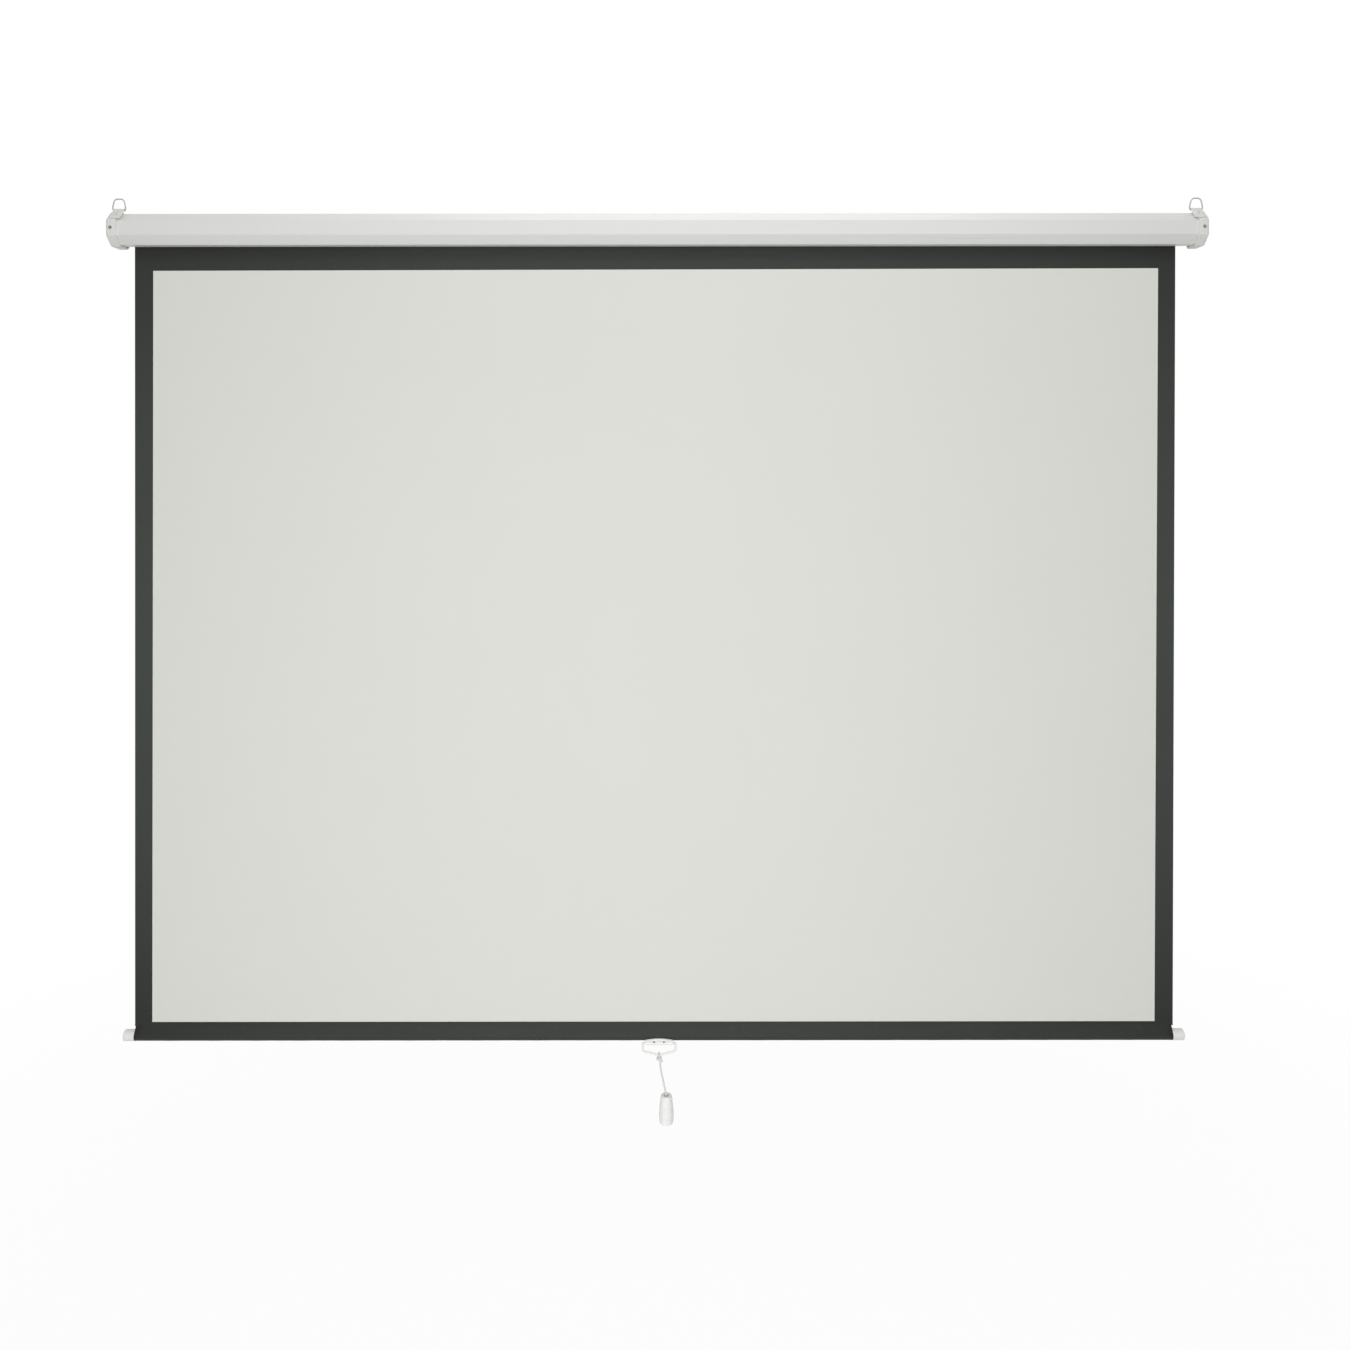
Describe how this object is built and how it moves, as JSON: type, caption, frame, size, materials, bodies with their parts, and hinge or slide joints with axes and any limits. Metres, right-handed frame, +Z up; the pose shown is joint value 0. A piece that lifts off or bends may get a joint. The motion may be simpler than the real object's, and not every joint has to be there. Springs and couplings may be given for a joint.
{
  "type": "pull down projector screen",
  "caption": "Spring roller projection screen in an octagonal steel case, with a white viewing surface, black borders, a weighted bar, a swinging pull handle and a cord with a tapered grip.",
  "frame": {"origin": "middle of the case's flat back, level with the middle of the case", "axes": "+X along the case to the right as seen from the front, +Y towards the wall, +Z up; the screen hangs down along -Z and faces -Y"},
  "size_m": [2.18, 0.0681, 1.8599],
  "materials": {
    "case_enamel": "satin white enamel on rolled steel sheet",
    "cap_plastic": "moulded white plastic, fine grain",
    "black_screw": "blackened steel",
    "bright_steel": "bright nickel plated steel",
    "zinc_plate": "zinc plated steel",
    "spring_steel": "oiled spring steel",
    "nylon": "natural nylon",
    "screen_white": "matte white coated screen fabric",
    "screen_black": "matte black coated fabric",
    "white_plastic": "moulded white plastic, slight gloss",
    "cord_white": "braided white cord"
  },
  "bodies": {
    "case": {"case_shell": "case_enamel", "end_cap_left": "cap_plastic", "end_cap_right": "cap_plastic", "cap_screw_left": "black_screw", "cap_screw_right": "black_screw", "roller_bracket_left": "zinc_plate", "roller_bracket_right": "zinc_plate", "hanger_plate_left": "zinc_plate", "hanger_plate_right": "zinc_plate", "hanger_screw_left": "black_screw", "hanger_screw_right": "black_screw", "idler_bush": "nylon", "spring_shaft": "bright_steel", "spring_anchor": "zinc_plate", "torsion_spring": "spring_steel", "ratchet_wheel": "spring_steel", "screen_backing": "screen_black", "viewing_surface": "screen_white"},
    "roller": {"roller_tube": "bright_steel", "fabric_roll": "screen_black", "roller_head": "nylon", "idler_plug": "nylon", "shaft_bush": "nylon", "pawl_pin_a": "bright_steel", "pawl_pin_b": "bright_steel"},
    "pawl_top": {"pawl_a": "spring_steel"},
    "pawl_bottom": {"pawl_b": "spring_steel"},
    "ring_left": {"hanger_ring_left": "bright_steel"},
    "ring_right": {"hanger_ring_right": "bright_steel"},
    "bottom_bar": {"weight_bar": "bright_steel", "hem_pocket": "screen_black", "bar_cap_left": "white_plastic", "bar_cap_right": "white_plastic", "handle_saddle": "white_plastic", "saddle_screw_left": "black_screw", "saddle_screw_right": "black_screw"},
    "handle": {"pull_handle": "white_plastic"},
    "cord": {"cord_knot": "cord_white", "pull_cord": "cord_white", "pull_grip": "white_plastic", "stop_knot": "cord_white"}
  },
  "joints": [
    {"name": "screen_drop", "type": "slide", "parent": "case", "child": "bottom_bar", "axis": [0, 0, 1], "range_m": [0, 1.5759], "deforming": ["screen_backing", "viewing_surface"]},
    {"name": "roller_spin", "type": "hinge", "parent": "case", "child": "roller", "pos_m": [0, -0.036, 0], "axis": [1, 0, 0], "range_deg": [0, 4290]},
    {"name": "pawl_top_pivot", "type": "hinge", "parent": "roller", "child": "pawl_top", "pos_m": [1.0487, -0.03, 0.011], "axis": [-1, 0, 0], "range_deg": [-20, 0]},
    {"name": "pawl_bottom_pivot", "type": "hinge", "parent": "roller", "child": "pawl_bottom", "pos_m": [1.0487, -0.042, -0.011], "axis": [-1, 0, 0], "range_deg": [-20, 0]},
    {"name": "ring_left_pivot", "type": "hinge", "parent": "case", "child": "ring_left", "pos_m": [-1.075, -0.04482, 0.03832], "axis": [1, 0, 0], "range_deg": [-90, 118]},
    {"name": "ring_right_pivot", "type": "hinge", "parent": "case", "child": "ring_right", "pos_m": [1.075, -0.04482, 0.03832], "axis": [1, 0, 0], "range_deg": [-90, 118]},
    {"name": "handle_swing", "type": "hinge", "parent": "bottom_bar", "child": "handle", "pos_m": [0.001, -0.02194, -1.63841], "axis": [1, 0, 0], "range_deg": [-90, 90]},
    {"name": "cord_swing", "type": "hinge", "parent": "handle", "child": "cord", "pos_m": [0.001, -0.02194, -1.66291], "axis": [1, 0, 0], "range_deg": [-60, 60]}
  ],
  "couplings": [
    {"joint": "roller_spin", "follows": "screen_drop", "rad_per_m": 47.5}
  ]
}
